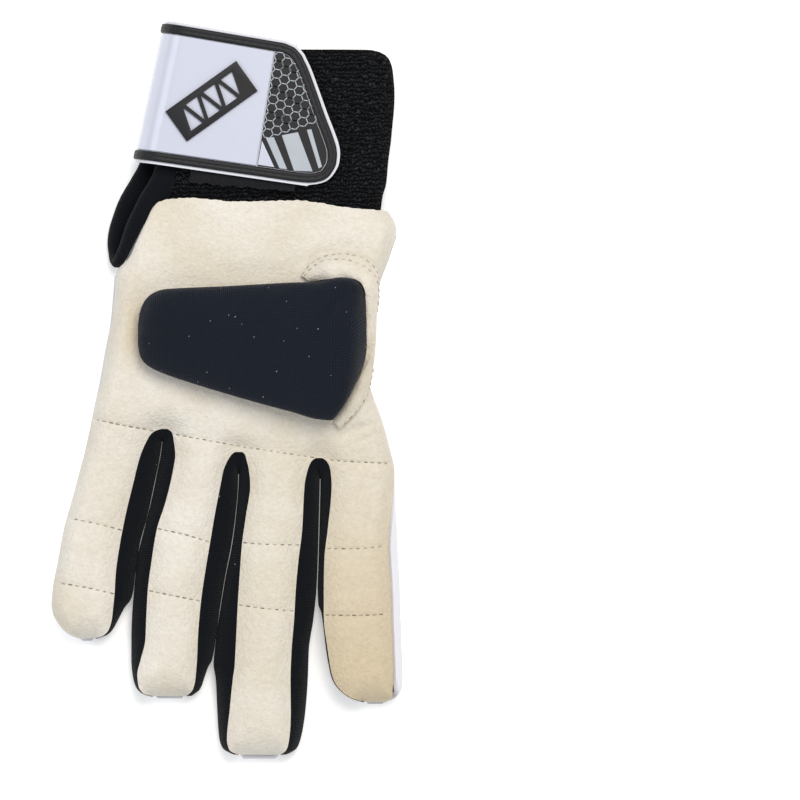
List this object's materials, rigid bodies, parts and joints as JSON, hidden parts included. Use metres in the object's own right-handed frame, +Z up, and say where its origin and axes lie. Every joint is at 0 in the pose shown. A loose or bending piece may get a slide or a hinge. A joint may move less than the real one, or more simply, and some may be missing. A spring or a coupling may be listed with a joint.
{
  "type": "wicketkeeping inner glove",
  "caption": "Left-hand inner glove with chamois palm, jersey gussets and thumb, rib-knit cuff and wrap-round wrist strap, lying palm up with the thumb folded over.",
  "frame": {"origin": "under the middle of the part's box, on the surface that its back lies on", "axes": "+Z up out of the palm, -Y towards the fingertips, +X towards the index finger and the thumb's root"},
  "size_m": [0.1265, 0.2662, 0.0327],
  "materials": {
    "chamois": "cream chamois leather with a fine suede nap",
    "back_cloth": "white coated back cloth",
    "jersey": "blue-black fine jersey knit",
    "rib_knit": "black rib knit",
    "strap_vinyl": "white semi-gloss vinyl",
    "gloss_field": "glossy white vinyl with a cool tint",
    "black_trim": "black satin trim, stitched and moulded",
    "grey_bar": "light grey satin",
    "loop_patch": "black fastener fabric"
  },
  "bodies": {
    "root": {"palm_leather": "chamois", "thumb_rim": "chamois", "back_panel": "back_cloth", "gusset_little_ring": "jersey", "gusset_ring_middle": "jersey", "gusset_middle_index": "jersey", "thumb_sleeve": "jersey", "vent_binding": "jersey", "cuff": "rib_knit", "wrist_strap": "strap_vinyl", "strap_field": "gloss_field", "strap_corner": "gloss_field", "strap_border": "black_trim", "strap_tab_panel": "black_trim", "strap_motif": "black_trim", "strap_bar_1": "grey_bar", "strap_bar_2": "grey_bar", "strap_bar_3": "grey_bar", "fastener_patch": "loop_patch"}
  },
  "joints": []
}
